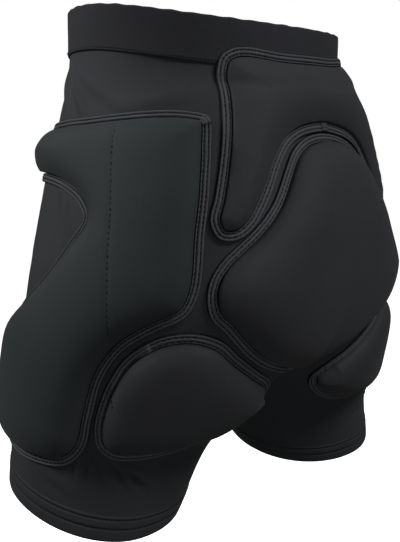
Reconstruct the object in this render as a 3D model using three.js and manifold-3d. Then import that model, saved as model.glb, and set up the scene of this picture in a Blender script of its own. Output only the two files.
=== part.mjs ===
// Padded protective shorts: a stretch cloth shell with a wide elastic waistband, and six
// cushions sewn on it, each held by a stitched tape: a low-back pad, a tailbone pad, two hip
// pads and two seat pads. Millimetres, +Z up, wearer's front at -Y and left side at +X.
// The origin is at the middle of the waistband's height, on the body's upright axis.
import * as THREE from 'three';
import { mergeVertices } from 'three/addons/utils/BufferGeometryUtils.js';
import Module from 'manifold-3d';

const wasm = await Module();
wasm.setup();

// Garment sizes
const LENGTH = 432;             // top edge to hem, down the outside
const HALF_WIDTH = 200;         // half the width across the hips
const HALF_DEPTH = 150;         // middle to the fullest point of the seat
const BAND_HEIGHT = 37;
const BAND_WALL = 1.6;
const CLOTH_WALL = 1.4;
const HEM_HEIGHT = 20;          // the cloth is doubled here
const HEM_WALL = 2.6;
const SEAM_OVERLAP = 8;         // shell tucked up inside the waistband
const STEP_TURN = 10;           // degrees that the legs are turned against the hips
const WAIST_DIP = 0.132;        // slope of the waist's back edge, down to the back
const DIP_ROUND = 40;           // how gently that slope sets in at the sides
const WAIST_TILT = 0.0006;      // how much more it dips with each millimetre to the wearer's left
const GAP = 0.3;                // clearance between pieces that touch

// Pads and their tapes
const TAPE_WIDTH = 8;           // measured on the body
const TAPE_HEIGHT = 3;
const TAPE_GAP = 1;             // between a tape's inner edge and its cushion
const PUFF = 20;                // width of a cushion's rounded edge
const CUSHION_STEP = 3;         // height at which a cushion rises beside its tape
const SUNK = 7;                 // depth to which a pad is drawn before the body is cut from it

// Mesh fineness
const HALF_RING = 21;
const SPACING = 25.6;              // longest stretch of an outline between two points
const NORMAL_SPAN = 6;
const METRIC_SPAN = 2;

// Sections of the left half, from the waist down. drop is a share of LENGTH; side, inner and
// the two crests are shares of HALF_WIDTH; front and back are shares of HALF_DEPTH. A crest is
// where the front or back line turns, bulge is the curve's exponent, and pitch and lean are
// the slopes of the section towards the back and towards the side.
const SECTIONS = [
  { drop: 0.00, side: 0.720, inner: -3.0, front: 0.710, back: 0.747, crestF: 0.00, crestB: 0.04, bulge: 2.15, pitch: 0.00, lean: 0.00 },
  { drop: 0.10, side: 0.725, inner: -3.0, front: 0.713, back: 0.760, crestF: 0.03, crestB: 0.05, bulge: 2.15, pitch: 0.00, lean: 0.00 },
  { drop: 0.23, side: 0.775, inner: -3.0, front: 0.735, back: 0.905, crestF: 0.08, crestB: 0.13, bulge: 2.20, pitch: 0.12, lean: -0.04 },
  { drop: 0.39, side: 0.872, inner: -2.5, front: 0.767, back: 1.000, crestF: 0.18, crestB: 0.21, bulge: 2.20, pitch: 0.14, lean: -0.03 },
  { drop: 0.53, side: 0.943, inner: -1.5, front: 0.727, back: 0.985, crestF: 0.30, crestB: 0.28, bulge: 2.20, pitch: 0.16, lean: -0.04 },
  { drop: 0.66, side: 0.995, inner: -0.42, front: 0.660, back: 0.865, crestF: 0.44, crestB: 0.31, bulge: 2.10, pitch: 0.18, lean: -0.07 },
  { drop: 0.75, side: 1.020, inner: -0.11, front: 0.605, back: 0.735, crestF: 0.49, crestB: 0.42, bulge: 2.10, pitch: 0.20, lean: -0.10 },
  { drop: 0.83, side: 1.043, inner: 0.065, front: 0.573, back: 0.620, crestF: 0.56, crestB: 0.56, bulge: 2.05, pitch: 0.21, lean: -0.12 },
  { drop: 1.00, side: 1.080, inner: 0.29, front: 0.510, back: 0.545, crestF: 0.68, crestB: 0.74, bulge: 2.00, pitch: 0.22, lean: -0.124 },
];
const SECTION_UNITS = { side: HALF_WIDTH, inner: HALF_WIDTH, crestF: HALF_WIDTH, crestB: HALF_WIDTH,
  front: HALF_DEPTH, back: HALF_DEPTH, bulge: 1, pitch: 1, lean: 1 };

// Levels of the shell's rings, as shares of the stretch between its top and the hem's fold
const SHELL_LEVELS = [0.15, 0.30, 0.45, 0.59, 0.71, 0.81, 0.90, 1];

// Each pad's outline runs round the outer edge of its tape. across is a share of the pad's
// width, counted along the body towards the back, and down is a share of its height. The
// spine is the line that its cushion crowns along. axis and turn say from where on the
// body's middle, and towards which side, the pad is laid on.
const HIP_PAD = {
  axis: 60, turn: 10, reach: 148, width: 330, height: 290, top: 91, thickness: 16,
  outline: [
    [-0.550, 0.030], [-0.350, 0.015], [-0.080, 0.007], [0.330, 0.000], [0.393, 0.020], [0.390, 0.100],
    [0.375, 0.200], [0.360, 0.320], [0.360, 0.485], [0.340, 0.545], [0.267, 0.590], [0.203, 0.642],
    [0.163, 0.720], [0.145, 0.840], [0.130, 0.935], [0.085, 0.990], [0.000, 1.000], [-0.130, 0.985],
    [-0.360, 0.930], [-0.430, 0.870], [-0.455, 0.800], [-0.435, 0.700], [-0.355, 0.620], [-0.225, 0.552],
    [-0.133, 0.475], [-0.045, 0.350], [-0.012, 0.295], [-0.045, 0.255], [-0.140, 0.215], [-0.258, 0.197],
    [-0.550, 0.185], [-0.610, 0.145], [-0.610, 0.070],
  ],
  spine: [[-0.50, 0.105], [-0.10, 0.115], [0.16, 0.18], [0.17, 0.34], [0.08, 0.50], [-0.08, 0.66], [-0.15, 0.84]],
};
const SEAT_PAD = {
  axis: 100, turn: 85, reach: 105, width: 150, height: 115, top: 260, thickness: 16,
  outline: [
    [-0.445, 0.225], [-0.362, 0.105], [-0.262, 0.033], [-0.147, 0.020], [-0.030, 0.080], [0.096, 0.230],
    [0.246, 0.386], [0.374, 0.505], [0.445, 0.610], [0.432, 0.715], [0.345, 0.840], [0.215, 0.925],
    [-0.010, 0.975], [-0.290, 1.000], [-0.450, 0.975], [-0.528, 0.890], [-0.552, 0.750], [-0.526, 0.505],
    [-0.486, 0.340],
  ],
  spine: [[-0.25, 0.50], [0.00, 0.60], [0.22, 0.68]],
};
// The two middle pads are given by their half from the centre line outwards.
const LUMBAR_PAD = {
  axis: 0, turn: 90, reach: 150, width: 260, height: 166, top: 26, thickness: 19,
  half: [
    [0.000, -0.018], [0.200, -0.018], [0.380, -0.028], [0.432, -0.010], [0.467, 0.030], [0.481, 0.115],
    [0.470, 0.265], [0.465, 0.445], [0.475, 0.630], [0.490, 0.795], [0.500, 0.905], [0.475, 0.985],
    [0.445, 1.000], [0.412, 0.985], [0.380, 0.935], [0.353, 0.860], [0.320, 0.760], [0.280, 0.638],
    [0.232, 0.552], [0.172, 0.506], [0.090, 0.480], [0.000, 0.470],
  ],
  spine: [[0.00, 0.25], [0.27, 0.28], [0.37, 0.61], [0.42, 0.85]],
};
const TAIL_PAD = {
  axis: 0, turn: 90, reach: 150, width: 250, height: 212, top: 105, thickness: 18,
  askew: -10,                   // how far the tip hangs off the centre line, to the wearer's left
  half: [
    [0.000, 0.000], [0.096, 0.009], [0.172, 0.032], [0.230, 0.074], [0.270, 0.135], [0.304, 0.205],
    [0.336, 0.272], [0.370, 0.330], [0.408, 0.385], [0.444, 0.432], [0.474, 0.478], [0.493, 0.532],
    [0.497, 0.583], [0.488, 0.640], [0.466, 0.695], [0.425, 0.742], [0.376, 0.802], [0.316, 0.866],
    [0.246, 0.919], [0.166, 0.960], [0.080, 0.989], [0.000, 1.000],
  ],
  spine: [[0.00, 0.55], [0.22, 0.58]],
};

// Materials
const cloth = () => new THREE.MeshStandardMaterial({ name: 'stretch_cloth', color: 0x222426, roughness: 0.7, metalness: 0 });
const elastic = () => new THREE.MeshStandardMaterial({ name: 'woven_elastic', color: 0x1b1b1e, roughness: 0.85, metalness: 0 });
const padCloth = () => new THREE.MeshStandardMaterial({ name: 'pad_cloth', color: 0x2b2d30, roughness: 0.65, metalness: 0 });
const tape = () => new THREE.MeshStandardMaterial({ name: 'binding_tape', color: 0x26282a, roughness: 0.6, metalness: 0 });

// Numbers at one depth between the rows of a table, on a smooth curve through them that makes
// no swing of its own; past the ends it runs on straight.
function tableAt(table, key, depth) {
  const last = table.length - 2;
  let row = 0;
  while (row < last && depth > table[row + 1].drop * LENGTH) {
    row += 1;
  }
  const from = table[row].drop * LENGTH;
  const span = table[row + 1].drop * LENGTH - from;
  const slopes = [slopeAt(table, key, row), slopeAt(table, key, row + 1)];
  const start = table[row][key];
  const end = table[row + 1][key];
  const t = (depth - from) / span;
  let value;
  if (t < 0) {
    value = start + slopes[0] * (depth - from);
  } else if (t > 1) {
    value = end + slopes[1] * (depth - from - span);
  } else {
    const s = t * t * (3 - 2 * t);
    value = start + (end - start) * s + slopes[0] * span * t * (1 - t) * (1 - t)
      - slopes[1] * span * t * t * (1 - t);
  }
  return value * SECTION_UNITS[key];
}

// Slope of a column at one row: none where it turns, else the mean of both sides
function slopeAt(table, key, row) {
  const rise = (a, b) => (table[b][key] - table[a][key]) / ((table[b].drop - table[a].drop) * LENGTH);
  if (row === 0) {
    return rise(0, 1);
  }
  if (row === table.length - 1) {
    return rise(row - 1, row);
  }
  const before = rise(row - 1, row);
  const after = rise(row, row + 1);
  if (before * after <= 0) {
    return 0;
  }
  const weightBefore = table[row].drop - table[row - 1].drop;
  const weightAfter = table[row + 1].drop - table[row].drop;
  return (before * weightAfter + after * weightBefore) / (weightBefore + weightAfter);
}

const sectionCache = new Map();

// The whole section at one level, kept because the same levels come back often
function sectionAt(level) {
  const place = Math.round(level * 20) / 20;
  if (!sectionCache.has(place)) {
    const section = {};
    for (const key of Object.keys(SECTION_UNITS)) {
      section[key] = tableAt(SECTIONS, key, place);
    }
    sectionCache.set(place, section);
  }
  return sectionCache.get(place);
}

const lifted = (section, x, y) => section.pitch * y
  + section.lean * (Math.hypot(x, 40) - (section.side + Math.max(section.inner, 0)) / 2);

// A point of the left half's ring at one level, at an angle counted from the side to the back
function ringPoint(level, angle, grow) {
  const s = sectionAt(level);
  const back = Math.sin(angle) >= 0;
  const crest = back ? s.crestB : s.crestF;
  const halfAcross = (Math.cos(angle) >= 0 ? s.side - crest : crest - s.inner) + grow;
  const halfDeep = (back ? s.back : s.front) + grow;
  const x = crest + Math.sign(Math.cos(angle)) * halfAcross * Math.abs(Math.cos(angle)) ** (2 / s.bulge);
  const y = Math.sign(Math.sin(angle)) * halfDeep * Math.abs(Math.sin(angle)) ** (2 / s.bulge);
  return new THREE.Vector3(x, y, BAND_HEIGHT / 2 - level - lifted(s, x, y));
}

// Below 0 inside the body, above 0 outside it. Both halves are alike, so |x| is measured.
function outsideness(point) {
  const x = Math.abs(point.x);
  const y = point.y;
  const depth = BAND_HEIGHT / 2 - point.z;
  let level = depth;
  for (let pass = 0; pass < 5; pass += 1) {
    level = depth - lifted(sectionAt(level), x, y);
  }
  const s = sectionAt(level);
  const crest = y >= 0 ? s.crestB : s.crestF;
  const halfAcross = x >= crest ? s.side - crest : crest - s.inner;
  const halfDeep = y >= 0 ? s.back : s.front;
  return Math.abs((x - crest) / halfAcross) ** s.bulge + Math.abs(y / halfDeep) ** s.bulge - 1;
}

// The outermost point of the body on a level line from the axis
function bodyPoint(axis, turn, depth) {
  const direction = new THREE.Vector3(Math.cos(turn), Math.sin(turn), 0);
  const origin = new THREE.Vector3(axis, 0, BAND_HEIGHT / 2 - depth);
  const at = (distance) => origin.clone().addScaledVector(direction, distance);
  let far = HALF_WIDTH * 1.6;
  while (far > 10 && outsideness(at(far)) > 0) {
    far -= 6;
  }
  let near = far;
  far += 6;
  for (let pass = 0; pass < 12; pass += 1) {
    const middle = (near + far) / 2;
    if (outsideness(at(middle)) > 0) {
      far = middle;
    } else {
      near = middle;
    }
  }
  return at((near + far) / 2);
}

// The way out of the body at a point, taken over a few millimetres so that it turns smoothly
function wayOut(point) {
  const slope = (x, y, z) => {
    const step = new THREE.Vector3(x, y, z).multiplyScalar(NORMAL_SPAN);
    return outsideness(point.clone().add(step)) - outsideness(point.clone().sub(step));
  };
  return new THREE.Vector3(slope(1, 0, 0), slope(0, 1, 0), slope(0, 0, 1)).normalize();
}

// The garment has the stance of a body in mid step: the legs are turned a little against the
// hips, and the waist dips at the back, more so towards the wearer's left.
function stepped(point) {
  const depth = BAND_HEIGHT / 2 - point.z;
  const leg = THREE.MathUtils.smoothstep(depth, LENGTH * 0.35, LENGTH * 0.88);
  const waist = 1 - THREE.MathUtils.smoothstep(depth, BAND_HEIGHT, LENGTH * 0.2);
  const turned = point.clone().applyAxisAngle(new THREE.Vector3(0, 0, 1), -THREE.MathUtils.degToRad(STEP_TURN) * leg);
  const behind = (Math.hypot(point.y, DIP_ROUND) + point.y - DIP_ROUND) / 2;
  turned.z -= behind * (WAIST_DIP + WAIST_TILT * point.x) * waist;
  return turned;
}

// Solids

// A closed body from rings of points; each ring has the same number of points, and the ends
// are closed by a fan unless the rings themselves run round to the first one.
function ringSolid(rings, endless) {
  const count = rings[0].length;
  const points = rings.flat();
  const index = [];
  const bands = endless ? rings.length : rings.length - 1;
  for (let r = 0; r < bands; r += 1) {
    const next = (r + 1) % rings.length;
    for (let c = 0; c < count; c += 1) {
      const d = (c + 1) % count;
      index.push(r * count + c, next * count + c, next * count + d);
      index.push(r * count + c, next * count + d, r * count + d);
    }
  }
  if (!endless) {
    for (const r of [0, rings.length - 1]) {
      const middle = new THREE.Vector3();
      rings[r].forEach((point) => middle.addScaledVector(point, 1 / count));
      points.push(middle);
      for (let c = 0; c < count; c += 1) {
        const pair = [r * count + c, r * count + ((c + 1) % count)];
        index.push(points.length - 1, ...(r === 0 ? pair : pair.reverse()));
      }
    }
  }
  return toSolid(points, index);
}

// A solid from points in the square frame, set in the garment's stance
function toSolid(points, index) {
  const geometry = new THREE.BufferGeometry().setFromPoints(points.map(stepped));
  geometry.setIndex(index);
  const merged = mergeVertices(geometry, 1e-4);
  const position = merged.getAttribute('position');
  const faces = Array.from(merged.getIndex().array);
  const a = new THREE.Vector3();
  const b = new THREE.Vector3();
  const c = new THREE.Vector3();
  const kept = [];
  let volume = 0;
  for (let f = 0; f < faces.length; f += 3) {
    if (faces[f] !== faces[f + 1] && faces[f + 1] !== faces[f + 2] && faces[f] !== faces[f + 2]) {
      a.fromBufferAttribute(position, faces[f]);
      b.fromBufferAttribute(position, faces[f + 1]);
      c.fromBufferAttribute(position, faces[f + 2]);
      volume += a.dot(b.cross(c));
      kept.push(faces[f], faces[f + 1], faces[f + 2]);
    }
  }
  if (volume < 0) {
    kept.reverse();
  }
  return new wasm.Manifold(new wasm.Mesh({
    numProp: 3,
    vertProperties: Float32Array.from(position.array),
    triVerts: Uint32Array.from(kept),
  }));
}

// Angles round one ring of the left half. Where it reaches past the centre plane, it stops
// there at the front and at the back; lower down it goes all the way round the leg.
function ringAngles(level, grow) {
  const reachOf = (angle) => ringPoint(level, angle, grow).x + GAP;
  const end = (sign) => {
    let near = Math.PI / 2;
    let far = Math.PI * 0.985;
    if (reachOf(sign * far) > 0) {
      return sign * far;
    }
    for (let pass = 0; pass < 20; pass += 1) {
      const middle = (near + far) / 2;
      if (reachOf(sign * middle) > 0) {
        near = middle;
      } else {
        far = middle;
      }
    }
    return sign * (near + far) / 2;
  };
  const front = end(-1);
  const back = end(1);
  return Array.from({ length: HALF_RING }, (unused, n) => front + (back - front) * n / (HALF_RING - 1));
}

const mirrored = (point) => new THREE.Vector3(-point.x, point.y, point.z);

// Both halves of the body between two levels, grown or shrunk, as one solid
function bodySolid(levels, growAt) {
  const rings = levels.map((level) => ringAngles(level, growAt(level)).map((angle) => ringPoint(level, angle, growAt(level))));
  const left = ringSolid(rings, false);
  const right = ringSolid(rings.map((ring) => ring.map(mirrored)), false);
  return left.add(right);
}

const SHELL_TOP = BAND_HEIGHT - SEAM_OVERLAP;
const HEM_FOLD = LENGTH - HEM_HEIGHT;

function shellLevels() {
  const between = SHELL_LEVELS.map((share) => BAND_HEIGHT + (HEM_FOLD - BAND_HEIGHT) * share);
  return [SHELL_TOP, BAND_HEIGHT, ...between, LENGTH];
}

function shellSolid() {
  const levels = shellLevels();
  const outside = bodySolid(levels, () => 0);
  const wallAt = (level) => (level > HEM_FOLD ? -HEM_WALL : -CLOTH_WALL);
  const innerLevels = [SHELL_TOP - 12, ...levels.slice(0, -1), HEM_FOLD + 1, LENGTH + 12];
  return outside.subtract(bodySolid(innerLevels, wallAt));
}

// The waistband: an upright sleeve round both halves, outside the shell's top
function bandSolid(inner, outer, spare) {
  const levels = [-spare, SHELL_TOP, BAND_HEIGHT + spare];
  const ringAt = (level, grow) => {
    const half = ringAngles(level, grow).map((angle) => ringPoint(level, angle, grow));
    half.forEach((point) => { point.x = Math.max(point.x, 0); });
    return [...half, ...half.slice(1, -1).reverse().map(mirrored)];
  };
  const outside = levels.map((level) => ringAt(level, outer));
  const inside = levels.map((level) => ringAt(level, inner)).reverse();
  return ringSolid([...outside, ...inside], true);
}

// Pads

// Where a point of a pad's chart lies on the body, raised by a height, on the left or the right
// side. A pad that crosses the waistband's lower edge is lifted over it.
function padPlace(pad, side, chart, height) {
  const turn = THREE.MathUtils.degToRad(pad.turn) + chart.x / pad.reach;
  const depth = pad.top + chart.y;
  const point = bodyPoint(pad.axis, turn, depth);
  const overBand = 1 - THREE.MathUtils.smoothstep(depth, BAND_HEIGHT + 4, BAND_HEIGHT + 22);
  point.addScaledVector(wayOut(point), height + overBand * (BAND_WALL + GAP));
  return side === 'right' ? mirrored(point) : point;
}

// The pad's outline in millimetres of its own chart, with extra points between the rows
function outlineOf(pad) {
  const rows = pad.half
    ? [...pad.half, ...pad.half.slice(1, -1).reverse().map(([across, down]) => [-across, down])]
    : pad.outline;
  const askew = pad.askew ?? 0;
  const corners = rows.map(
    ([across, down]) => new THREE.Vector3(across * pad.width + askew * down ** 4, down * pad.height, 0),
  );
  const curve = new THREE.CatmullRomCurve3(corners, true, 'centripetal');
  return corners.flatMap((corner, n) => {
    const next = corners[(n + 1) % corners.length];
    const steps = Math.max(1, Math.round(corner.distanceTo(next) / SPACING));
    return Array.from({ length: steps }, (unused, k) => curve.getPoint((n + k / steps) / corners.length));
  });
}

// The same outline moved inwards by a distance that is measured on the body, square to the edge
// there: the chart's own millimetres are longer where the body turns away from the pad's axis.
function insetOf(pad, outline, distance) {
  const count = outline.length;
  const area = THREE.ShapeUtils.area(outline);
  const laid = (x, y) => padPlace(pad, 'left', new THREE.Vector3(x, y, 0), 0);
  return outline.map((point, n) => {
    const step = outline[(n + 1) % count].clone().sub(outline[(n + count - 1) % count]);
    const over = laid(point.x + METRIC_SPAN, point.y).sub(laid(point.x - METRIC_SPAN, point.y));
    const down = laid(point.x, point.y + METRIC_SPAN).sub(laid(point.x, point.y - METRIC_SPAN));
    over.divideScalar(2 * METRIC_SPAN);
    down.divideScalar(2 * METRIC_SPAN);
    const along = over.clone().multiplyScalar(step.x).addScaledVector(down, step.y);
    const inwards = over.clone().cross(down).cross(along).normalize().multiplyScalar(Math.sign(area));
    const both = over.dot(down);
    const scale = distance / (over.dot(over) * down.dot(down) - both * both);
    const x = down.dot(down) * over.dot(inwards) - both * down.dot(inwards);
    const y = over.dot(over) * down.dot(inwards) - both * over.dot(inwards);
    return point.clone().add(new THREE.Vector3(x * scale, y * scale, 0));
  });
}

// The pad's spine, in steps about as long as the outline's
function spineOf(pad) {
  const half = pad.spine.map(([across, down]) => new THREE.Vector3(across * pad.width, down * pad.height, 0));
  const line = pad.half ? [...half.slice(1).reverse().map(mirrored), ...half] : half;
  const path = new THREE.CurvePath();
  for (let n = 0; n + 1 < line.length; n += 1) {
    path.add(new THREE.LineCurve3(line[n], line[n + 1]));
  }
  return path.getSpacedPoints(Math.round(path.getLength() / SPACING));
}

// Height of a cushion at a distance from its edge: a rounded edge, then a level crown
function cushionHeight(pad, distance) {
  const t = 1 - Math.min(1, distance / PUFF);
  return CUSHION_STEP + (pad.thickness - CUSHION_STEP) * Math.sqrt(1 - t * t);
}

// Rings of the cushion from its edge towards its spine, each pulled to its nearest step
function cushionSolid(pad, side) {
  const edge = insetOf(pad, outlineOf(pad), TAPE_WIDTH + TAPE_GAP);
  const spine = spineOf(pad);
  const nearest = edge.map((point) => spine.reduce(
    (best, step, n) => (point.distanceTo(step) < point.distanceTo(spine[best]) ? n : best), 0));
  const ring = (puffShare, limit, rest) => edge.map((point, n) => {
    const length = point.distanceTo(spine[nearest[n]]);
    const puff = Math.min(puffShare * PUFF, limit * length);
    return point.clone().lerp(spine[nearest[n]], (puff + rest * (length - puff)) / length);
  });
  const raised = (point, n) => {
    const distance = point.distanceTo(edge[n]);
    return padPlace(pad, side, point, cushionHeight(pad, distance));
  };
  const rings = [[0, 0, 0], [0.15, 0.15, 0], [0.45, 0.4, 0], [1, 0.7, 0], [1, 0.7, 0.5]]
    .map(([puffShare, limit, rest]) => ring(puffShare, limit, rest).map(raised));
  const crown = spine.map((step) => padPlace(pad, side, step, pad.thickness));
  const underEdge = edge.map((point) => padPlace(pad, side, point, -SUNK));
  const underSpine = spine.map((step) => padPlace(pad, side, step, -SUNK));
  const points = [...underEdge, ...rings.flat(), ...crown, ...underSpine];
  const count = edge.length;
  const index = [];
  for (let r = 0; r < rings.length; r += 1) {
    for (let n = 0; n < count; n += 1) {
      const m = (n + 1) % count;
      index.push(r * count + n, r * count + m, (r + 1) * count + m);
      index.push(r * count + n, (r + 1) * count + m, (r + 1) * count + n);
    }
  }
  const crownStart = (rings.length + 1) * count;
  closeOnSpine(index, rings.length * count, count, crownStart, nearest, false);
  closeOnSpine(index, 0, count, crownStart + spine.length, nearest, true);
  return toSolid(points, index);
}

// Faces from a ring to the spine's steps, walking along the spine as the ring's nearest step does
function closeOnSpine(index, ringStart, count, spineStart, nearest, turned) {
  const face = (a, b, c) => index.push(...(turned ? [a, c, b] : [a, b, c]));
  for (let n = 0; n < count; n += 1) {
    const m = (n + 1) % count;
    let step = nearest[n];
    while (step !== nearest[m]) {
      const next = step + Math.sign(nearest[m] - step);
      face(ringStart + n, spineStart + next, spineStart + step);
      step = next;
    }
    face(ringStart + n, ringStart + m, spineStart + step);
  }
}

// The tape round a cushion: a flat strip that is highest where the cushion begins. Grown, it
// is the space that the cushion leaves free for it.
function tapeSolid(pad, side, grow) {
  const outer = outlineOf(pad);
  const inner = insetOf(pad, outer, TAPE_WIDTH + grow);
  const strip = (line, height) => line.map((point) => padPlace(pad, side, point, height));
  return ringSolid([strip(outer, -SUNK), strip(outer, TAPE_HEIGHT * 0.6 + grow), strip(inner, TAPE_HEIGHT + grow),
    strip(inner, -SUNK)], true);
}

// Nodes

function addNode(group, name, solid, material) {
  const mesh = solid.getMesh();
  const geometry = new THREE.BufferGeometry();
  geometry.setAttribute('position', new THREE.BufferAttribute(mesh.vertProperties, mesh.numProp));
  geometry.setIndex(new THREE.BufferAttribute(mesh.triVerts, 1));
  geometry.computeVertexNormals();
  const node = new THREE.Mesh(geometry, material);
  node.name = name;
  group.add(node);
}

function addPad(group, name, pad, side, bodyToClear) {
  const cushion = cushionSolid(pad, side).subtract(bodyToClear).subtract(tapeSolid(pad, side, GAP));
  addNode(group, name, cushion, padCloth());
  addNode(group, `${name}_binding`, tapeSolid(pad, side, 0).subtract(bodyToClear), tape());
}

const shorts = new THREE.Group();
shorts.name = 'padded_shorts';

addNode(shorts, 'shorts_body', shellSolid(), cloth());
addNode(shorts, 'waistband', bandSolid(GAP, GAP + BAND_WALL, 0), elastic());

const bodyToClear = bodySolid(shellLevels(), () => GAP).add(bandSolid(-SUNK, BAND_WALL + 2 * GAP, GAP));
for (const side of ['left', 'right']) {
  addPad(shorts, `hip_pad_${side}`, HIP_PAD, side, bodyToClear);
  addPad(shorts, `seat_pad_${side}`, SEAT_PAD, side, bodyToClear);
}
addPad(shorts, 'lumbar_pad', LUMBAR_PAD, 'middle', bodyToClear);
addPad(shorts, 'tail_pad', TAIL_PAD, 'middle', bodyToClear);

export default shorts;
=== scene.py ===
"""Looks of the padded protective shorts: stretch shell, elastic waistband, six sewn-on cushions and
their stitched tapes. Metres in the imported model's frame; lengths inside a formula are millimetres."""

import math

import bmesh
import bpy
import numpy as np
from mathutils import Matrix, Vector
from mathutils.geometry import delaunay_2d_cdt


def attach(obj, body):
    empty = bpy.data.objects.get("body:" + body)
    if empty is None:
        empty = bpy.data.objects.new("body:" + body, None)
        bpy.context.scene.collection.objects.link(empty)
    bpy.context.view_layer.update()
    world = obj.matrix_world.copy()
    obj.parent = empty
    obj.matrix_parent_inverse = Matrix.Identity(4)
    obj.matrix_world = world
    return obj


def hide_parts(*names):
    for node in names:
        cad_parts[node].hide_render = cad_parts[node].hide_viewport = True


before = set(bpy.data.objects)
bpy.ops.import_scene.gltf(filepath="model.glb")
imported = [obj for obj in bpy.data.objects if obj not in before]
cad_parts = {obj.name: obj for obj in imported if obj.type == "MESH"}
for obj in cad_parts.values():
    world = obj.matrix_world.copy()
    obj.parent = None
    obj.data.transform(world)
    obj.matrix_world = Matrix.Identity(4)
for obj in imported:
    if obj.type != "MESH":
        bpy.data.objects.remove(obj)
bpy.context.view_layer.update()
MM = 0.001


# The studio: the camera stands at the wearer's left and behind, looking a little down.
# The floor is a plain pale sheet well below the garment, which is worn and so held up.
CAMERA_TURN = math.radians(130)
CAMERA_PITCH = math.radians(8.2)
CAMERA_AWAY = 0.720
CAMERA_ASIDE = -0.007
CAMERA_HEIGHT = -0.1175
LENS = 46.83

camera_data = bpy.data.cameras.new("studio_camera")
camera_data.lens = LENS
camera_data.sensor_width = 36
camera = bpy.data.objects.new("studio_camera", camera_data)
camera.location = (
    CAMERA_AWAY * math.sin(CAMERA_TURN) + CAMERA_ASIDE * math.cos(CAMERA_TURN),
    -CAMERA_AWAY * math.cos(CAMERA_TURN) + CAMERA_ASIDE * math.sin(CAMERA_TURN),
    CAMERA_HEIGHT,
)
camera.rotation_euler = (math.pi / 2 - CAMERA_PITCH, 0, CAMERA_TURN)
bpy.context.collection.objects.link(camera)
bpy.context.scene.camera = camera


class Link:
    """A shader socket that does arithmetic: each operator adds one Math node."""

    def __init__(self, finish, socket):
        self.finish, self.socket = finish, socket

    def math(self, operation, *others):
        """This socket and the others put through one Math node."""
        values = dict(enumerate([self, *others]))
        return self.finish.node("ShaderNodeMath", {"operation": operation}, values)

    def __add__(self, other):
        return self.math("ADD", other)

    def __sub__(self, other):
        return self.math("SUBTRACT", other)

    def __rsub__(self, other):
        return self.finish.node("ShaderNodeMath", {"operation": "SUBTRACT"}, {0: other, 1: self})

    def __mul__(self, other):
        return self.math("MULTIPLY", other)

    __radd__, __rmul__ = __add__, __mul__


class Finish:
    """One procedural material: constants go on the shader's own sockets, nodes come from node()."""

    def __init__(self, name, **constants):
        self.material = bpy.data.materials.new(name)
        self.material.use_nodes = True
        self.tree = self.material.node_tree
        self.shader = self.tree.nodes["Principled BSDF"]
        for socket, value in constants.items():
            self.shader.inputs[socket.replace("_", " ")].default_value = value

    def node(self, kind, settings=None, values=None, output=0):
        """A new node with its settings and its inputs' values; gives a link to one output."""
        node = self.tree.nodes.new(kind)
        for key, value in (settings or {}).items():
            setattr(node, key, value)
        for key, value in (values or {}).items():
            self.set(node.inputs[key], value)
        return Link(self, node.outputs[output])

    def set(self, socket, value):
        if isinstance(value, Link):
            self.tree.links.new(value.socket, socket)
        else:
            socket.default_value = value

    def feed(self, socket, value):
        """What varies over the piece, put into a socket of the shader."""
        self.set(self.shader.inputs[socket], value)

    def noise(self, scale, detail=2):
        """Soft noise from 0 to 1 over the object's own coordinates."""
        place = self.node("ShaderNodeTexCoord", output="Object")
        return self.node("ShaderNodeTexNoise", None, {"Vector": place, "Scale": scale, "Detail": detail})

    def along(self):
        """The piece's own chart in metres: first across or along it, second down or over it."""
        chart = self.node("ShaderNodeUVMap", {"uv_map": "chart"})
        split = self.node("ShaderNodeSeparateXYZ", None, {0: chart})
        return split, Link(self, split.socket.node.outputs[1])

    def ripple(self, run, pitch):
        """A sine of the run along the chart, whose waves are pitch millimetres long."""
        return (run * (2 * math.pi / (pitch * MM))).math("SINE")

    def blend_colour(self, share, dark, light):
        """The dark colour where the share is 0 and the light one where it is 1."""
        return self.node(
            "ShaderNodeMix", {"data_type": "RGBA"}, {0: share, 6: (*dark, 1), 7: (*light, 1)}, output=2
        )

    def bump(self, height, distance, strength=1.0, under=None):
        """A normal from a height, over another bump's normal where one is given."""
        values = {"Height": height, "Distance": distance, "Strength": strength}
        if under is not None:
            values["Normal"] = under
        return self.node("ShaderNodeBump", None, values)


floor_finish = Finish("floor_paint", Roughness=0.9, Emission_Color=(1, 1, 1, 1), Emission_Strength=1.0)
floor_tone = floor_finish.blend_colour(floor_finish.noise(3), (0.90, 0.90, 0.90), (0.93, 0.93, 0.93))
floor_finish.feed("Base Color", floor_tone)
FLOOR_HEIGHT = -1.0
FLOOR_HALF = 12.0
FLOOR_CORNERS = ((-1, -1), (1, -1), (1, 1), (-1, 1))
floor_mesh = bpy.data.meshes.new("floor")
floor_mesh.from_pydata(
    [(x * FLOOR_HALF, y * FLOOR_HALF, FLOOR_HEIGHT) for x, y in FLOOR_CORNERS], [], [(0, 1, 2, 3)]
)
floor_mesh.materials.append(floor_finish.material)
floor = bpy.data.objects.new("floor", floor_mesh)
floor.visible_diffuse = floor.visible_glossy = False
bpy.context.collection.objects.link(floor)

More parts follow.
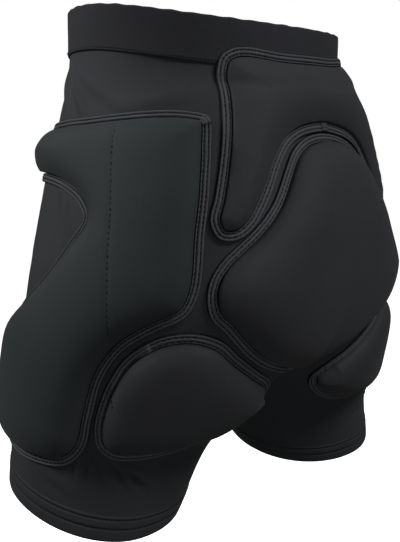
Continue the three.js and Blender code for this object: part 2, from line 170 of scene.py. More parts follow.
# What the camera sees behind the garment is white; what lights it from all round is faint
ROOM_LIGHT = 0.09
world = bpy.data.worlds.new("studio")
world.use_nodes = True
seen = world.node_tree.nodes["Background"]
seen.inputs["Color"].default_value = (1, 1, 1, 1)
lit = world.node_tree.nodes.new("ShaderNodeBackground")
lit.inputs["Color"].default_value = (1, 1, 1, 1)
lit.inputs["Strength"].default_value = ROOM_LIGHT
either = world.node_tree.nodes.new("ShaderNodeMixShader")
rays = world.node_tree.nodes.new("ShaderNodeLightPath")
for start, end in (
    (rays.outputs["Is Camera Ray"], either.inputs[0]),
    (lit.outputs[0], either.inputs[1]),
    (seen.outputs[0], either.inputs[2]),
    (either.outputs[0], world.node_tree.nodes["World Output"].inputs["Surface"]),
):
    world.node_tree.links.new(start, end)
bpy.context.scene.world = world
bpy.context.scene.view_settings.view_transform = "Standard"


LAMP_AIM = Vector((0, 0, -0.2))


def soft_lamp(name, turn, height, away, size, power):
    """A square area lamp at a turn from the wearer's front in degrees, aimed at the garment's middle."""
    data = bpy.data.lights.new(name, "AREA")
    data.shape = "SQUARE"
    data.size = size
    data.energy = power
    lamp = bpy.data.objects.new(name, data)
    turn = math.radians(turn)
    lamp.location = (away * math.sin(turn), -away * math.cos(turn), height)
    aim = LAMP_AIM - lamp.location
    lamp.rotation_euler = aim.to_track_quat("-Z", "Y").to_euler()
    bpy.context.collection.objects.link(lamp)


soft_lamp("lamp_left", turn=50, height=0.85, away=1.6, size=0.6, power=50)
soft_lamp("lamp_right", turn=190, height=1.45, away=1.5, size=0.7, power=54)
soft_lamp("lamp_front", turn=142, height=-0.55, away=1.8, size=0.5, power=9.5)


# The shell: two legs of black stretch knit, cut and sewn to the body's shape and worn taut. The
# cloth is turned up inside each leg as a hem, held by two rows of stitches.
LENGTH, HALF_WIDTH, HALF_DEPTH = 432, 200, 150
BAND_HEIGHT, CLOTH_WALL = 37, 1.4
HEM_HEIGHT, HEM_WALL = 20, 2.6
# The stance: the legs turn against the hips between two levels, and the waist's back edge dips
STEP_TURN = math.radians(10)
STEP_START, STEP_END = LENGTH * 0.35, LENGTH * 0.88
WAIST_DIP, DIP_ROUND, DIP_END = 0.132, 40, LENGTH * 0.2
WAIST_TILT = 0.0006
GAP = 0.3
# Each row: how far below the waist, the section's outer, inner, front and back edge, where its crests
# lie, how full its corners are, and how far its plane is pitched to the back and leans to the side
SECTION_COLUMNS = "drop side inner front back crestF crestB bulge pitch lean".split()
RING_COLUMNS = SECTION_COLUMNS[1:8]
SECTIONS = np.array([
    [0.00, 0.720, -3.00, 0.710, 0.747, 0.00, 0.04, 2.15, 0.00, 0.000],
    [0.10, 0.725, -3.00, 0.713, 0.760, 0.03, 0.05, 2.15, 0.00, 0.000],
    [0.23, 0.775, -3.00, 0.735, 0.905, 0.08, 0.13, 2.20, 0.12, -0.040],
    [0.39, 0.872, -2.50, 0.767, 1.000, 0.18, 0.21, 2.20, 0.14, -0.030],
    [0.53, 0.943, -1.50, 0.727, 0.985, 0.30, 0.28, 2.20, 0.16, -0.040],
    [0.66, 0.995, -0.42, 0.660, 0.865, 0.44, 0.31, 2.10, 0.18, -0.070],
    [0.75, 1.020, -0.11, 0.605, 0.735, 0.49, 0.42, 2.10, 0.20, -0.100],
    [0.83, 1.043, 0.065, 0.573, 0.620, 0.56, 0.56, 2.05, 0.21, -0.120],
    [1.00, 1.080, 0.29, 0.510, 0.545, 0.68, 0.74, 2.00, 0.22, -0.124],
])
SECTION_UNITS = dict(zip(SECTION_COLUMNS, [
    LENGTH, HALF_WIDTH, HALF_WIDTH, HALF_DEPTH, HALF_DEPTH, HALF_WIDTH, HALF_WIDTH, 1, 1, 1,
]))
LEAN_ROUND = 40
LEVEL_STEP = 0.25
ABOVE_WAIST, BELOW_HEM = 60, 80
LEVELS = np.arange(-ABOVE_WAIST, LENGTH + BELOW_HEM, LEVEL_STEP)


def section_curves():
    """Each column at every level: cubic pieces through the rows, whose slope at a row is none where
    the column turns and else the mean of both sides; past the ends it runs on straight."""
    drops = SECTIONS[:, 0] * LENGTH
    rise = np.diff(SECTIONS, axis=0) / np.diff(drops)[:, None]
    span = np.diff(drops)[:, None]
    between = (rise[:-1] * span[1:] + rise[1:] * span[:-1]) / (span[1:] + span[:-1])
    slopes = np.vstack([rise[:1], between, rise[-1:]])
    slopes[1:-1][rise[:-1] * rise[1:] <= 0] = 0
    row = np.clip(np.searchsorted(drops, LEVELS, side="right") - 1, 0, len(drops) - 2)
    reach = (drops[row + 1] - drops[row])[:, None]
    past = (LEVELS - drops[row])[:, None] / reach
    t = np.clip(past, 0, 1)
    value = (
        SECTIONS[row] + (SECTIONS[row + 1] - SECTIONS[row]) * t * t * (3 - 2 * t)
        + slopes[row] * reach * t * (1 - t) ** 2 - slopes[row + 1] * reach * t * t * (1 - t)
    )
    value += np.where(past < 0, slopes[row], np.where(past > 1, slopes[row + 1], 0)) * (past - t) * reach
    return {key: value[:, n] * SECTION_UNITS[key] for n, key in enumerate(SECTION_COLUMNS)}


CURVES = section_curves()


def section(level, *keys):
    """The named columns at any level, read straight between the fine levels."""
    return [np.interp(level, LEVELS, CURVES[key]) for key in keys]


def lifted(level, x, y):
    """How far a section's plane is tilted at a place: by its pitch to the back and its lean to the side."""
    side, inner, pitch, lean = section(level, "side", "inner", "pitch", "lean")
    return pitch * y + lean * (np.hypot(x, LEAN_ROUND) - (side + np.maximum(inner, 0)) / 2)


def ring_point(level, angle, grow):
    """Points of the left half's rings: a rounded oblong about the crest at each level, at an angle
    counted from the side to the back."""
    side, inner, front, back, crest_f, crest_b, bulge = section(level, *RING_COLUMNS)
    to_back = np.sin(angle) >= 0
    crest = np.where(to_back, crest_b, crest_f)
    across = np.where(np.cos(angle) >= 0, side - crest, crest - inner) + grow
    deep = np.where(to_back, back, front) + grow
    x = crest + np.sign(np.cos(angle)) * across * np.abs(np.cos(angle)) ** (2 / bulge)
    y = np.sign(np.sin(angle)) * deep * np.abs(np.sin(angle)) ** (2 / bulge)
    return np.stack([x, y, BAND_HEIGHT / 2 - level - lifted(level, x, y)], -1)


HALVINGS = 30


def ring_end(level, grow, sign):
    """The angle at which a ring meets the centre plane, found by halving; half a turn lower down."""
    near, far = np.full(level.shape, math.pi / 2), np.full(level.shape, math.pi)
    closed = ring_point(level, sign * far, grow)[..., 0] > 0
    for _ in range(HALVINGS):
        middle = (near + far) / 2
        outside = ring_point(level, sign * middle, grow)[..., 0] > 0
        near, far = np.where(outside, middle, near), np.where(outside, far, middle)
    return sign * np.where(closed, math.pi, (near + far) / 2)


def smooth_step(value, start, end):
    """0 before the start, 1 past the end, and an even S between them."""
    t = np.clip((value - start) / (end - start), 0, 1)
    return t * t * (3 - 2 * t)


def stepped(points):
    """The stance: the legs are turned against the hips and the waist's back edge dips."""
    x, y, z = np.moveaxis(points, -1, 0)
    depth = BAND_HEIGHT / 2 - z
    turn = -STEP_TURN * smooth_step(depth, STEP_START, STEP_END)
    waist = 1 - smooth_step(depth, BAND_HEIGHT, DIP_END)
    turned_x = x * np.cos(turn) - y * np.sin(turn)
    turned_y = x * np.sin(turn) + y * np.cos(turn)
    behind = (np.hypot(turned_y, DIP_ROUND) + turned_y - DIP_ROUND) / 2
    dip = behind * (WAIST_DIP + WAIST_TILT * turned_x) * waist
    return np.stack([turned_x, turned_y, z - dip], -1)


def unit(ways):
    """The same ways, each made one long."""
    return ways / (np.linalg.norm(ways, axis=-1, keepdims=True) + 1e-9)


def mirrored(points):
    """The same points on the wearer's other side."""
    return points * np.array([-1, 1, 1])


def grid_faces(rows, columns, endless_rows=False, endless_columns=False):
    """Four-sided faces of a grid whose points are numbered row by row."""
    down = np.arange(rows if endless_rows else rows - 1)[:, None]
    over = np.arange(columns if endless_columns else columns - 1)[None, :]
    next_down, next_over = (down + 1) % rows, (over + 1) % columns
    steps = ((down, over), (down, next_over), (next_down, next_over), (next_down, over))
    corners = [np.broadcast_to(row * columns + column, (down.size, over.size)) for row, column in steps]
    return np.stack(corners, -1).reshape(-1, 4)


def new_piece(name, points, faces, chart, finish, weld=0.00002):
    """A mesh object from millimetre points, faces and a chart in millimetres, welded at its seams,
    smooth, with its faces turned outwards and riding on the one body."""
    mesh = bpy.data.meshes.new(name)
    faces = [np.asarray(f) for f in (faces if isinstance(faces, list) else [faces])]
    points = np.asarray(points, float).reshape(-1, 3) * MM
    corners = np.concatenate([f.ravel() for f in faces])
    sizes = np.concatenate([np.full(len(f), f.shape[1]) for f in faces])
    mesh.vertices.add(len(points))
    mesh.vertices.foreach_set("co", points.ravel())
    mesh.loops.add(len(corners))
    mesh.loops.foreach_set("vertex_index", corners.astype(np.int32))
    mesh.polygons.add(len(sizes))
    mesh.polygons.foreach_set("loop_start", np.concatenate([[0], np.cumsum(sizes)[:-1]]).astype(np.int32))
    uv = mesh.uv_layers.new(name="chart")
    uv.data.foreach_set("uv", (np.asarray(chart, float).reshape(-1, 2)[corners] * MM).ravel())
    mesh.update(calc_edges=True)
    mesh.validate()
    work = bmesh.new()
    work.from_mesh(mesh)
    bmesh.ops.remove_doubles(work, verts=work.verts, dist=weld)
    bmesh.ops.dissolve_degenerate(work, edges=work.edges, dist=weld / 4)
    bmesh.ops.recalc_face_normals(work, faces=work.faces)
    work.to_mesh(mesh)
    work.free()
    mesh.polygons.foreach_set("use_smooth", np.ones(len(mesh.polygons), bool))
    mesh.materials.append(finish.material)
    piece = bpy.data.objects.new(name, mesh)
    bpy.context.collection.objects.link(piece)
    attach(piece, "root")
    return piece


LOOP_SHARE = 0.8


def knit_finish(name, dark, light, wale, roughness, sheen, relief):
    """Black knit: columns of loops wale millimetres apart, each loop 0.8 of that high, a soft sheen,
    and changes of tone in clouds, fuzz and grain."""
    finish = Finish(
        name, Roughness=roughness, Sheen_Weight=sheen, Sheen_Roughness=0.45, Specular_IOR_Level=0.06
    )
    across, down = finish.along()
    loops = finish.ripple(across, wale) * finish.ripple(down, wale * LOOP_SHARE)
    cloud = finish.noise(9, 4)
    fuzz = finish.noise(420, 3)
    grain = finish.noise(900, 2)
    tone = cloud * 0.45 + fuzz * 0.35 + grain * 0.45 + loops * 0.08 - 0.13
    finish.feed("Base Color", finish.blend_colour(tone, dark, light))
    finish.feed("Roughness", fuzz * 0.14 + (roughness - 0.07))
    creases = finish.bump(finish.noise(38, 3), 0.0012, relief)
    finish.feed("Normal", finish.bump(loops * 0.5 + fuzz * 0.5, 0.00025, 0.5, creases))
    return finish


shell_finish = knit_finish(
    "stretch_knit", dark=(0.0064, 0.0072, 0.0080), light=(0.0232, 0.0254, 0.0270),
    wale=0.9, roughness=0.62, sheen=0.02, relief=0.12,
)

# Folds of the shell: where each lies (turn from the side to the back in degrees, level in
# millimetres), its length, width and tilt, and how far the cloth stands out or sinks
FOLD_COLUMNS = "turn level long wide tilt rise".split()
FOLDS = np.array([
    [-18, 60, 26, 4.0, 52, 2.2],
    [-10, 78, 28, 4.5, 48, 2.0],
    [-34, 62, 30, 5.0, 44, 2.2],
    [2, 72, 34, 5.0, 30, 1.2],
    [24, 80, 36, 6.0, -14, 1.0],
    [-4, 172, 22, 4.0, 60, 1.4],
    [-2, 196, 26, 5.0, 78, 1.6],
    [-75, 120, 50, 9.0, 20, 1.2],
    [-60, 190, 44, 8.0, -30, 1.0],
    [-50, 250, 40, 8.0, -48, 1.0],
    [41, 371, 14, 4.0, 84, 3.4],
    [47, 371, 14, 4.0, 66, 3.4],
    [53, 371, 15, 3.8, 48, 3.2],
    [62, 371, 20, 3.6, 32, 4.6],
    [73, 375, 20, 3.4, 24, 3.6],
    [26, 392, 26, 5.0, 12, 0.9],
    [110, 372, 26, 6.0, 20, 1.0],
    [150, 350, 30, 7.0, 10, 1.4],
    [-120, 350, 30, 7.0, -12, 1.4],
    [-100, 385, 26, 6.0, 15, 1.0],
])
FOLD_RADIUS = 120
TROUGH_DEPTH, TROUGH_AWAY = 0.6, 1.6


def fold_relief(turn, level):
    """Height of the folds: each is a hump along a short tilted line, with a shallower trough beside
    it. Both fall off as a bell curve across the line, and both end in one along it."""
    height = np.zeros(np.broadcast(turn, level).shape)
    for fold in FOLDS:
        at = dict(zip(FOLD_COLUMNS, fold))
        x = (turn - math.radians(at["turn"])) * FOLD_RADIUS
        y = level - at["level"]
        tilt = math.radians(at["tilt"])
        along = (x * math.cos(tilt) + y * math.sin(tilt)) / at["long"]
        across = (y * math.cos(tilt) - x * math.sin(tilt)) / at["wide"]
        hump = np.exp(-(across**2)) - TROUGH_DEPTH * np.exp(-((across - TROUGH_AWAY) ** 2))
        height += at["rise"] * hump * np.exp(-(along**2))
    return height


SHELL_COLUMNS = 146
SHELL_TOP = BAND_HEIGHT - 8
GATHERS_TOP = 362
HEM_SEAM = LENGTH - HEM_HEIGHT
HEM_FOLD = LENGTH - 2
# Levels of the hem's two rows of stitches below its seam, and how the cloth swells and sinks there
HEM_ROWS = [2.2, 10.0]
HEM_SWELL = 0.9
ROW_WIDE = 1.0
# Rings lie close together where the cloth forks, gathers and is turned up. Columns: start, end, step
OUTER_RINGS = [
    [SHELL_TOP, GATHERS_TOP, 3.2],
    [GATHERS_TOP, HEM_SEAM - 2, 1.8],
    [HEM_SEAM - 2, HEM_SEAM + 14, 0.55],
    [HEM_SEAM + 14, HEM_FOLD, 1.6],
]
INNER_RINGS = [[SHELL_TOP, HEM_FOLD, 6.4]]
FORK_RINGS, FORK_SPREAD = 14, 0.09
# The legs fork where the sections' inner edge crosses the centre
crotch = float(np.interp(0, CURVES["inner"], LEVELS))
fork_count = np.arange(-FORK_RINGS, FORK_RINGS + 1)
fork = crotch + np.sign(fork_count) * fork_count**2 * FORK_SPREAD


def ring_levels(table):
    """The levels of a table's rings and the fork's, from the top down."""
    return np.unique(np.round(np.concatenate([*[np.arange(*row) for row in table], fork]), 3))


outer_levels = ring_levels(OUTER_RINGS)
inner_levels = ring_levels(INNER_RINGS)[::-1]
hem_round = np.radians(np.arange(10, 180, 20))
hem_share = smooth_step(inner_levels, HEM_SEAM - 0.6, HEM_SEAM + 0.6)
hem_levels = LENGTH - HEM_WALL / 2 + HEM_WALL / 2 * np.sin(hem_round)
WALLS = {
    "level": np.concatenate([outer_levels, hem_levels, inner_levels]),
    "grow": np.concatenate([
        np.zeros(outer_levels.size), HEM_WALL / 2 * (np.cos(hem_round) - 1),
        -CLOTH_WALL - (HEM_WALL - CLOTH_WALL) * hem_share,
    ]),
}
CHART_RADIUS = 130
LEG_CENTRE = 60
INSIDE_RELIEF = 0.2
ON_CENTRE = 0.02
# The folds fade out over these stretches: off the centre, below the band and above the hem
CENTRE_FADE, BAND_FADE = (4, 20), (BAND_HEIGHT, BAND_HEIGHT + 6)
HEM_FADE, SWELL_FADE = (HEM_SEAM - 12, HEM_SEAM), (HEM_SEAM - 1, HEM_SEAM + 1)


def shell_half(mirror):
    """One half of the shell: rings down the outside, round the hem's fold and up the inside. Each
    point is moved along the cloth's way out by the folds, which fade at the centre, the waist and the
    hem, by the hem's swell and by its two sunken rows of stitches."""
    level, grow = WALLS["level"][:, None], WALLS["grow"][:, None]
    share = np.linspace(0, 1, SHELL_COLUMNS)[None, :]
    front, back = ring_end(level, grow, -1), ring_end(level, grow, 1)
    angle = front + (back - front) * share
    points = ring_point(level, angle, grow)
    edges = points[:, [0, -1], 0]
    points[:, [0, -1], 0] = np.where(np.abs(edges) < ON_CENTRE, 0, edges)
    out = unit(np.cross(np.gradient(points, axis=1), np.gradient(points, axis=0)))
    centre = np.stack([np.full_like(points[..., 0], LEG_CENTRE), 0 * points[..., 0], points[..., 2]], -1)
    out *= np.sign((out * (points - centre)).sum(-1))[..., None]
    hem = smooth_step(level, *SWELL_FADE)
    rows_sunk = sum(np.exp(-(((level - HEM_SEAM - row) / ROW_WIDE) ** 2)) for row in HEM_ROWS)
    fade = smooth_step(np.abs(points[..., 0]), *CENTRE_FADE) * smooth_step(level, *BAND_FADE)
    fade = fade * (1 - smooth_step(level, *HEM_FADE))
    relief = fold_relief(angle, level) * fade + HEM_SWELL * (hem - rows_sunk)
    relief[WALLS["grow"] < -1] *= INSIDE_RELIEF
    relief[:, [0, -1]] *= np.where(np.abs(points[:, [0, -1], 0]) < 1e-6, 0, 1)
    points = points + out * relief[..., None]
    chart = np.stack([angle * CHART_RADIUS, np.broadcast_to(level, angle.shape)], -1)
    return stepped(mirrored(points) if mirror else points), chart


left_half, left_chart = shell_half(False)
right_half, right_chart = shell_half(True)
rows = len(WALLS["level"])
half_faces = grid_faces(rows, SHELL_COLUMNS, endless_rows=True)
shell = new_piece(
    "shorts_shell",
    np.concatenate([left_half.reshape(-1, 3), right_half.reshape(-1, 3)]),
    [half_faces, half_faces[:, ::-1] + rows * SHELL_COLUMNS],
    np.concatenate([left_chart.reshape(-1, 2), right_chart.reshape(-1, 2)]),
    shell_finish,
)
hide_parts("shorts_body")


# The waistband: a wide woven elastic, folded double and sewn over the shell's top edge. It is
# ribbed all the way round, and its top edge waves a little.
BAND_WALL = 1.6
BAND_COLUMNS, BAND_ROWS = 720, 26
BAND_ROUND, BAND_RADIUS = 0.8, 140
RIB_PITCH, RIB_HEIGHT = 2.6, 0.03
# Swings of the top edge: height, how many round the waist, start
EDGE_SWINGS = [[0.22, 46, 0], [0.15, 31, 1]]


def band_points():
    """A closed sleeve: up the inside, over the rounded top edge, down the outside and under. The
    ribs are sines of the level, and the top edge swings as two sines of the turn."""
    turn = np.linspace(0, 2 * math.pi, BAND_COLUMNS, endpoint=False)[None, :]
    heights = np.linspace(BAND_ROUND, BAND_HEIGHT - BAND_ROUND, BAND_ROWS)
    top_edge = [(0.3, 0.15), (BAND_WALL / 2, 0.0), (1.3, 0.15)]
    profile = [(0.2, BAND_HEIGHT), *[(0.0, h) for h in heights[::-1]], *top_edge]
    profile += [(BAND_WALL, h) for h in heights] + [(1.3, BAND_HEIGHT)]
    grow = GAP + np.array([p[0] for p in profile])[:, None]
    level = np.array([p[1] for p in profile])[:, None]
    top = 1 - smooth_step(level, 0, 5)
    level = level + top * sum(height * np.sin(turn * count + start) for height, count, start in EDGE_SWINGS)
    outside = smooth_step(grow, GAP + 1, GAP + BAND_WALL)
    ribs = RIB_HEIGHT * np.sin(level * (2 * math.pi / RIB_PITCH))
    grow = grow + outside * (ribs + 0.25 * np.sin(turn * 9 + level * 0.05))
    front, back = ring_end(level + 0 * turn, grow, -1), ring_end(level + 0 * turn, grow, 1)
    half = turn <= math.pi
    share = np.where(half, turn, 2 * math.pi - turn) / math.pi
    angle = front + (back - front) * share
    points = ring_point(level, angle, grow)
    points = np.where(half[..., None], points, mirrored(points))
    chart = np.stack(np.broadcast_arrays(turn * BAND_RADIUS, level + 0 * angle), -1)
    return stepped(points), chart


band_finish = Finish(
    "woven_elastic", Roughness=0.8, Sheen_Weight=0.02, Sheen_Roughness=0.5, Specular_IOR_Level=0.05
)
band_across, band_down = band_finish.along()
band_ribs = band_finish.ripple(band_down, RIB_PITCH / 2) * 0.5 + 0.5
band_weft = band_finish.ripple(band_across, 1.1) * 0.5 + 0.5
band_tone = band_finish.noise(7, 3) * 0.5 + band_finish.noise(380, 2) * 0.35 + band_ribs * 0.1
band_colour = band_finish.blend_colour(band_tone, (0.0075, 0.0077, 0.0092), (0.0200, 0.0205, 0.0240))
band_finish.feed("Base Color", band_colour)
band_finish.feed("Normal", band_finish.bump(band_ribs + band_weft * 0.5, 0.0001, 0.35))
band_mesh_points, band_chart = band_points()
band = new_piece(
    "waistband_elastic", band_mesh_points, grid_faces(len(band_mesh_points), BAND_COLUMNS, True, True),
    band_chart, band_finish,
)
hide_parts("waistband")


# The cushions: foam with rounded edges, under taut stretch cloth that is sewn down all round. The
# hips have one each, the low back an arched one, the tailbone a large one, and the seat two.
TAPE_WIDTH = 8.4
# A pad is laid out round an axis beside the centre line: turn is where its middle faces in degrees
# from the side to the back, reach the radius of its widths, top its level. Rows are shares of its
# width and height. Its edge stands rim high, leans out a little and rises softly further in.
HIP_PAD = {
    "axis": 60, "turn": 10, "reach": 148, "width": 330, "height": 290, "top": 91, "thickness": 16,
    "rim": 5.6, "soft": 8.5, "lean_out": 0.6,
    "outline": [
        [-0.550, 0.030], [-0.350, 0.015], [-0.080, 0.007], [0.330, 0.000], [0.393, 0.020], [0.390, 0.100],
        [0.375, 0.200], [0.360, 0.320], [0.360, 0.485], [0.340, 0.545], [0.267, 0.590], [0.203, 0.642],
        [0.163, 0.720], [0.145, 0.840], [0.130, 0.935], [0.085, 0.990], [0.000, 1.000], [-0.130, 0.985],
        [-0.360, 0.930], [-0.430, 0.870], [-0.455, 0.800], [-0.435, 0.700], [-0.355, 0.620], [-0.225, 0.552],
        [-0.133, 0.475], [-0.045, 0.350], [-0.012, 0.295], [-0.045, 0.255], [-0.140, 0.215], [-0.258, 0.197],
        [-0.550, 0.185], [-0.610, 0.145], [-0.610, 0.070],
    ],
}
SEAT_PAD = {
    "axis": 100, "turn": 85, "reach": 105, "width": 150, "height": 115, "top": 260, "thickness": 17,
    "rim": 5.8, "soft": 8.0, "lean_out": 0.9,
    "outline": [
        [-0.445, 0.225], [-0.362, 0.105], [-0.262, 0.033], [-0.147, 0.020], [-0.030, 0.080], [0.096, 0.230],
        [0.246, 0.386], [0.374, 0.505], [0.445, 0.610], [0.432, 0.715], [0.345, 0.840], [0.215, 0.925],
        [-0.010, 0.975], [-0.290, 1.000], [-0.450, 0.975], [-0.528, 0.890], [-0.552, 0.750], [-0.526, 0.505],
        [-0.486, 0.340],
    ],
}
LUMBAR_PAD = {
    "axis": 0, "turn": 90, "reach": 150, "width": 260, "height": 166, "top": 26, "thickness": 18,
    "rim": 4.8, "soft": 16, "lean_out": 0.5,
    "half": [
        [0.000, -0.018], [0.200, -0.018], [0.380, -0.028], [0.432, -0.010], [0.467, 0.030], [0.481, 0.115],
        [0.470, 0.265], [0.465, 0.445], [0.475, 0.630], [0.490, 0.795], [0.500, 0.905], [0.475, 0.985],
        [0.445, 1.000], [0.412, 0.985], [0.380, 0.935], [0.353, 0.860], [0.320, 0.760], [0.280, 0.638],
        [0.232, 0.552], [0.172, 0.506], [0.090, 0.480], [0.000, 0.470],
    ],
}
TAIL_PAD = {
    "axis": 0, "turn": 90, "reach": 150, "width": 250, "height": 212, "top": 105, "thickness": 19,
    "rim": 5.6, "soft": 11.5, "lean_out": 0.7, "askew": -10,
    "half": [
        [0.000, 0.000], [0.096, 0.009], [0.172, 0.032], [0.230, 0.074], [0.270, 0.135], [0.304, 0.205],
        [0.336, 0.272], [0.370, 0.330], [0.408, 0.385], [0.444, 0.432], [0.474, 0.478], [0.493, 0.532],
        [0.497, 0.583], [0.488, 0.640], [0.466, 0.695], [0.425, 0.742], [0.376, 0.802], [0.316, 0.866],
        [0.246, 0.919], [0.166, 0.960], [0.080, 0.989], [0.000, 1.000],
    ],
}
CHART_STEP, CHART_MARGIN = 3.0, 12
PROBE_START, PROBE_END, PROBE_STEP = HALF_WIDTH * 1.6, 10, 12.0
CHART_HALVINGS, SLOPE_STEP = 13, 6
BAND_EDGE = (BAND_HEIGHT + 4, BAND_HEIGHT + 22)


def outsideness(points):
    """Below 0 inside the body and above 0 outside it, from the tilted section through the point,
    whose level is found in a few rounds."""
    x, y = np.abs(points[..., 0]), points[..., 1]
    depth = BAND_HEIGHT / 2 - points[..., 2]
    level = depth
    for _ in range(5):
        level = depth - lifted(level, x, y)
    side, inner, front, back, crest_f, crest_b, bulge = section(level, *RING_COLUMNS)
    crest = np.where(y >= 0, crest_b, crest_f)
    across = np.where(x >= crest, side - crest, crest - inner)
    return np.abs((x - crest) / across) ** bulge + np.abs(y / np.where(y >= 0, back, front)) ** bulge - 1


def lay_chart(pad):
    """The body under a pad, as a grid of places and ways out: from each level point of the pad's
    axis a line runs out at the grid's turn, and its outermost crossing is found by halving."""
    rows = np.array(pad.get("half", pad.get("outline")))
    reach = np.abs(rows[:, 0]).max() * pad["width"] + CHART_MARGIN
    across = np.arange(-reach, reach + CHART_STEP, CHART_STEP)
    down = np.arange(-CHART_MARGIN, pad["height"] + CHART_MARGIN + CHART_STEP, CHART_STEP)
    turn = (math.radians(pad["turn"]) + across / pad["reach"])[None, :]
    depth = (pad["top"] + down)[:, None]
    nought = 0 * turn * depth
    way = np.stack([np.cos(turn) + nought, np.sin(turn) + nought, nought], -1)
    origin = np.stack([pad["axis"] + nought, nought, BAND_HEIGHT / 2 - depth + nought], -1)
    probes = np.arange(PROBE_START, PROBE_END, -PROBE_STEP)
    inside = np.stack([outsideness(origin + way * probe) < 0 for probe in probes])
    near = probes[np.argmax(inside, axis=0)][..., None]
    far = near + PROBE_STEP
    for _ in range(CHART_HALVINGS):
        middle = (near + far) / 2
        out = outsideness(origin + way * middle)[..., None] > 0
        near, far = np.where(out, near, middle), np.where(out, middle, far)
    place = origin + way * near
    steps = np.eye(3) * SLOPE_STEP
    out = unit(np.stack([outsideness(place + step) - outsideness(place - step) for step in steps], -1))
    over_band = 1 - smooth_step(depth, *BAND_EDGE)
    place = place + out * (over_band * (BAND_WALL + GAP))[..., None]
    slopes = np.concatenate([np.gradient(place, CHART_STEP, axis=axis) for axis in (1, 0)], -1)
    return {"across": across, "down": down, "place": place, "out": out, "slopes": slopes}


def mixed(chart, key, spots):
    """A grid's value at any spots, by straight mixing between its four nearest places."""
    u = np.clip((spots[..., 0] - chart["across"][0]) / CHART_STEP, 0, chart["across"].size - 1.001)
    v = np.clip((spots[..., 1] - chart["down"][0]) / CHART_STEP, 0, chart["down"].size - 1.001)
    column, row = u.astype(int), v.astype(int)
    s, t = (u - column)[..., None], (v - row)[..., None]
    grid = chart[key]
    upper = grid[row, column] * (1 - s) + grid[row, column + 1] * s
    lower = grid[row + 1, column] * (1 - s) + grid[row + 1, column + 1] * s
    return upper * (1 - t) + lower * t


def lay_on(chart, spots, height, mirror):
    """Points of the chart laid on the body and raised along the way out."""
    out = unit(mixed(chart, "out", spots))
    points = mixed(chart, "place", spots) + out * np.asarray(height)[..., None]
    return stepped(mirrored(points) if mirror else points)


def run_of(points):
    """How far along a line each of its points lies, from 0."""
    return np.concatenate([[0], np.cumsum(np.linalg.norm(np.diff(points, axis=0), axis=1))])


def read_along(points, where):
    """Places along a line, where each is given by how far along it lies."""
    return np.stack([np.interp(where, run_of(points), column) for column in points.T], -1)


CURVE_CUTS = 40


def outline_of(pad, spacing):
    """The pad's edge in its chart: a smooth closed curve through the rows (each piece a cubic whose
    knots lie at the square roots of the distances), cut into even steps, run anticlockwise."""
    other_half = [[-across, down] for across, down in pad.get("half", [])[-2:0:-1]]
    rows = np.array(pad.get("outline") or pad["half"] + other_half)
    corners = rows * [pad["width"], pad["height"]]
    corners[:, 0] += pad.get("askew", 0) * rows[:, 1] ** 4
    before, after, beyond = np.roll(corners, 1, 0), np.roll(corners, -1, 0), np.roll(corners, -2, 0)
    spans = corners - before, after - corners, beyond - after
    knots = [np.linalg.norm(span, axis=1, keepdims=True) ** 0.5 for span in spans]
    rates = [span / knot for span, knot in zip(spans, knots)]
    leave = (rates[0] - (after - before) / (knots[0] + knots[1]) + rates[1]) * knots[1]
    arrive = (rates[1] - (beyond - corners) / (knots[1] + knots[2]) + rates[2]) * knots[1]
    t = np.linspace(0, 1, CURVE_CUTS, endpoint=False)[:, None, None]
    curve = (
        (2 * t**3 - 3 * t**2 + 1) * corners + (t**3 - 2 * t**2 + t) * leave
        + (3 * t**2 - 2 * t**3) * after + (t**3 - t**2) * arrive
    )
    curve = curve.transpose(1, 0, 2).reshape(-1, 2)
    closed = np.vstack([curve, curve[:1]])
    long = run_of(closed)[-1]
    count = int(long / spacing)
    return read_along(closed, np.linspace(0, long, count, endpoint=False)), long / count


def inwards_of(outline, step, chart, blur=5.0):
    """Ways into the pad, one millimetre long on the body and square to the edge there, given in the
    chart. The edge's run is averaged over a few millimetres first."""
    tangent = np.roll(outline, -1, 0) - np.roll(outline, 1, 0)
    reach = int(3 * blur / step) + 1
    weights = np.exp(-0.5 * (np.arange(-reach, reach + 1) * step / blur) ** 2)
    tangent = sum(w * np.roll(tangent, n - reach, 0) for n, w in enumerate(weights))
    x, y = outline.T
    area = (x * np.roll(y, -1) - y * np.roll(x, -1)).sum()
    over, down = np.split(mixed(chart, "slopes", outline), 2, axis=1)
    along = over * tangent[:, :1] + down * tangent[:, 1:]
    square = unit(np.cross(np.cross(over, down), along) * np.sign(area))
    a, b, c = (over**2).sum(1), (over * down).sum(1), (down**2).sum(1)
    p, q = (over * square).sum(1), (down * square).sum(1)
    return np.stack([c * p - b * q, a * q - b * p], -1) / (a * c - b * b)[:, None]


CREASE_HEIGHT, CREASE_WIDE = 0.3, 0.8
CROWN_SPARE = 0.8


def cushion_height(pad, distance):
    """Height of the cushion's cloth at a distance from its edge: out of the crease as an S to the
    rim's height, then on to the thickness as 1 less a falling power, a little above it for the cloth."""
    crease = smooth_step(distance, -0.1, CREASE_WIDE)
    crown = 1 - np.exp(-distance / pad["soft"])
    to_crown = pad["thickness"] + CROWN_SPARE - pad["rim"]
    return CREASE_HEIGHT + (pad["rim"] - CREASE_HEIGHT) * crease + to_crown * crown


CUSHION_GRAIN = 3.2
LEAN_RISE, LEAN_FALL = 0.9, 14
EDGE_RINGS = [0.0, 0.2, 0.45, 0.8, 1.6, 2.9, 4.8, 7.2]


